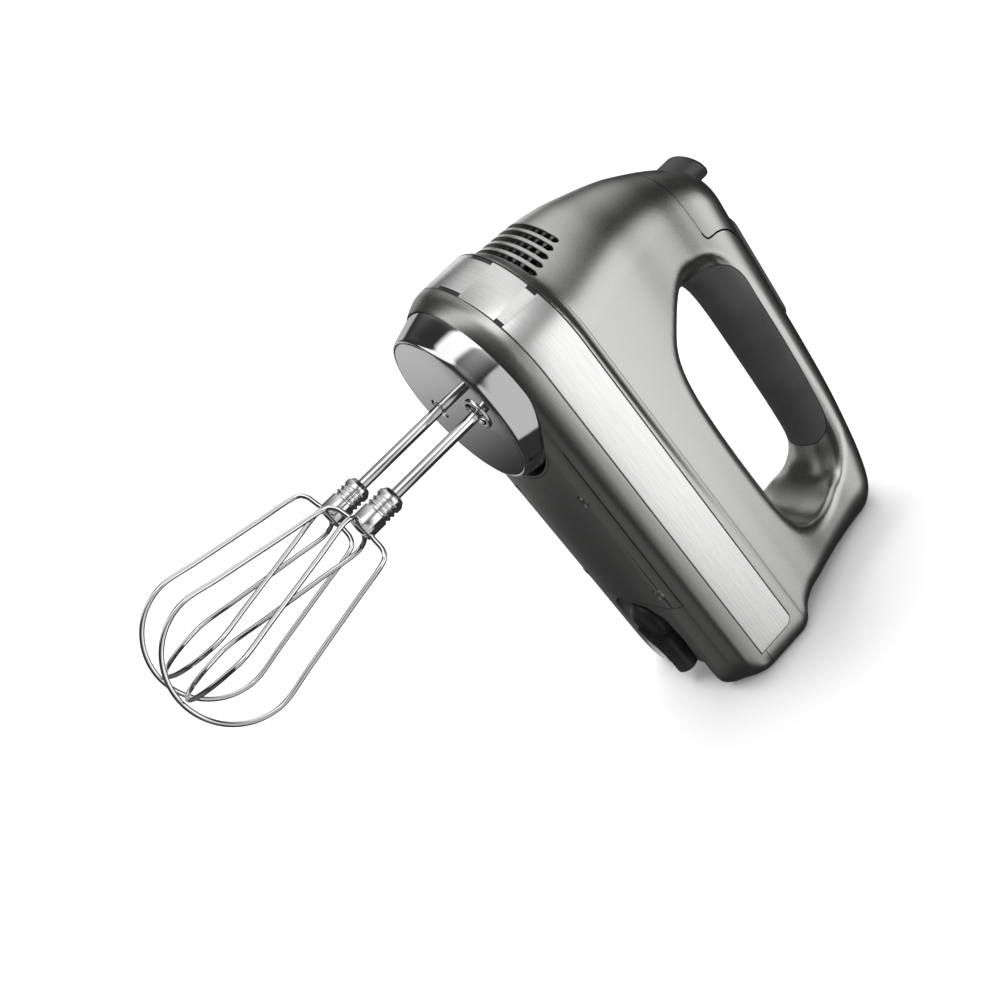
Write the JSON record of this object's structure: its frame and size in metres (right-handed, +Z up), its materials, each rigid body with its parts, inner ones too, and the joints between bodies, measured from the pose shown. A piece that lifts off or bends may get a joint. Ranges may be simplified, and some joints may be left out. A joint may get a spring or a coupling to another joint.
{
  "type": "hand mixer",
  "caption": "Handheld kitchen mixer with a closed loop handle, rubber grip, thumb eject button, vented nose, chrome collar and wire beaters, standing on its heel.",
  "frame": {"origin": "on the flat heel the mixer stands on, on its centre plane, 37.5 mm from the face the beaters come out of, towards the handle", "axes": "+Z up from the heel to the nose; +X the way the beaters point; +Y to the left of a user who holds the handle and looks at the nose"},
  "size_m": [0.3098, 0.0918, 0.2128],
  "materials": {
    "silver": "satin silver paint over moulded plastic, fine metallic grain",
    "brushed": "brushed along its length",
    "chrome": "mirror bright",
    "black": "satin black moulding",
    "grip": "soft matte, fine moulded grain",
    "window": "glossy dark window",
    "membrane": "plain",
    "board": "glass-fibre board",
    "alloy": "die cast",
    "spring": "drawn wire",
    "iron": "stacked laminations",
    "copper": "enamelled winding and copper bars",
    "bronze": "sintered bronze",
    "carbon": "pressed carbon",
    "screw": "zinc plated",
    "shaft": "ground",
    "nylon": "natural nylon",
    "dark": "satin dark grey"
  },
  "bodies": {
    "housing": {"upper_housing": "silver", "lower_housing": "silver", "bottom_cover": "silver", "handle_top_cover": "silver", "trim_band": "brushed", "chrome_collar": "chrome", "collar_plate": "chrome", "vent_grille": "black", "handle_grip": "grip", "display_window": "window", "keypad_membrane": "membrane", "control_board": "board", "speed_board": "board", "ejector_guide": "alloy", "ejector_spring": "spring", "stator_core": "iron", "field_coil_left": "copper", "field_coil_right": "copper", "front_bearing_bracket": "alloy", "rear_bearing_bracket": "alloy", "front_bearing": "bronze", "rear_bearing": "bronze", "brush_holder_left": "bronze", "brush_holder_right": "bronze", "carbon_brush_left": "carbon", "carbon_brush_right": "carbon", "gear_frame": "alloy", "gear_cover": "alloy", "left_lower_bush": "bronze", "right_lower_bush": "bronze", "cover_screw_1": "screw", "cover_screw_2": "screw", "cover_screw_3": "screw", "cover_screw_4": "screw"},
    "rotor": {"motor_shaft": "shaft", "armature_core": "iron", "armature_winding_front": "copper", "armature_winding_rear": "copper", "commutator": "copper", "cooling_fan": "nylon"},
    "left_drive": {"left_spindle": "shaft", "left_worm_gear": "nylon"},
    "right_drive": {"right_spindle": "shaft", "right_worm_gear": "nylon"},
    "left_beater": {"left_beater_shaft": "chrome", "left_beater_hub": "chrome", "left_beater_wire_a": "chrome", "left_beater_wire_b": "chrome"},
    "right_beater": {"right_beater_shaft": "chrome", "right_beater_hub": "chrome", "right_beater_wire_a": "chrome", "right_beater_wire_b": "chrome"},
    "ejector": {"ejector_slide": "nylon", "eject_button": "dark"},
    "speed_up_key": {"speed_up_button": "dark"},
    "speed_down_key": {"speed_down_button": "dark"},
    "power_key": {"power_button": "dark"},
    "swivel": {"cord_swivel": "black", "swivel_retainer": "screw"}
  },
  "joints": [
    {"name": "motor_spin", "type": "hinge", "parent": "housing", "child": "rotor", "pos_m": [-0.0005, 0, 0.168], "axis": [0, 0, 1], "continuous": true},
    {"name": "left_drive_spin", "type": "hinge", "parent": "housing", "child": "left_drive", "pos_m": [0, 0.019, 0.168], "axis": [-1, 0, 0], "continuous": true},
    {"name": "right_drive_spin", "type": "hinge", "parent": "housing", "child": "right_drive", "pos_m": [0, -0.019, 0.168], "axis": [-1, 0, 0], "continuous": true},
    {"name": "eject_press", "type": "slide", "parent": "housing", "child": "ejector", "axis": [1, 0, 0], "range_m": [0, 0.006], "stiffness_N_per_m": 300, "deforming": ["ejector_spring"]},
    {"name": "left_beater_release", "type": "slide", "parent": "left_drive", "child": "left_beater", "axis": [1, 0, 0], "range_m": [0, 0.006]},
    {"name": "right_beater_release", "type": "slide", "parent": "right_drive", "child": "right_beater", "axis": [1, 0, 0], "range_m": [0, 0.006]},
    {"name": "speed_up_press", "type": "slide", "parent": "housing", "child": "speed_up_key", "axis": [1, 0, 0], "range_m": [0, 0.001], "stiffness_N_per_m": 200},
    {"name": "speed_down_press", "type": "slide", "parent": "housing", "child": "speed_down_key", "axis": [1, 0, 0], "range_m": [0, 0.001], "stiffness_N_per_m": 200},
    {"name": "power_press", "type": "slide", "parent": "housing", "child": "power_key", "axis": [1, 0, 0], "range_m": [0, 0.001], "stiffness_N_per_m": 200},
    {"name": "cord_swivel_turn", "type": "hinge", "parent": "housing", "child": "swivel", "pos_m": [0.025, 0, 0.037], "axis": [-1, 0, 0], "range_deg": [-30, 30]}
  ],
  "couplings": [
    {"joint": "left_drive_spin", "follows": "motor_spin", "ratio": -0.041667},
    {"joint": "right_drive_spin", "follows": "motor_spin", "ratio": 0.041667},
    {"joint": "left_beater_release", "follows": "eject_press", "ratio": 1},
    {"joint": "right_beater_release", "follows": "eject_press", "ratio": 1}
  ]
}
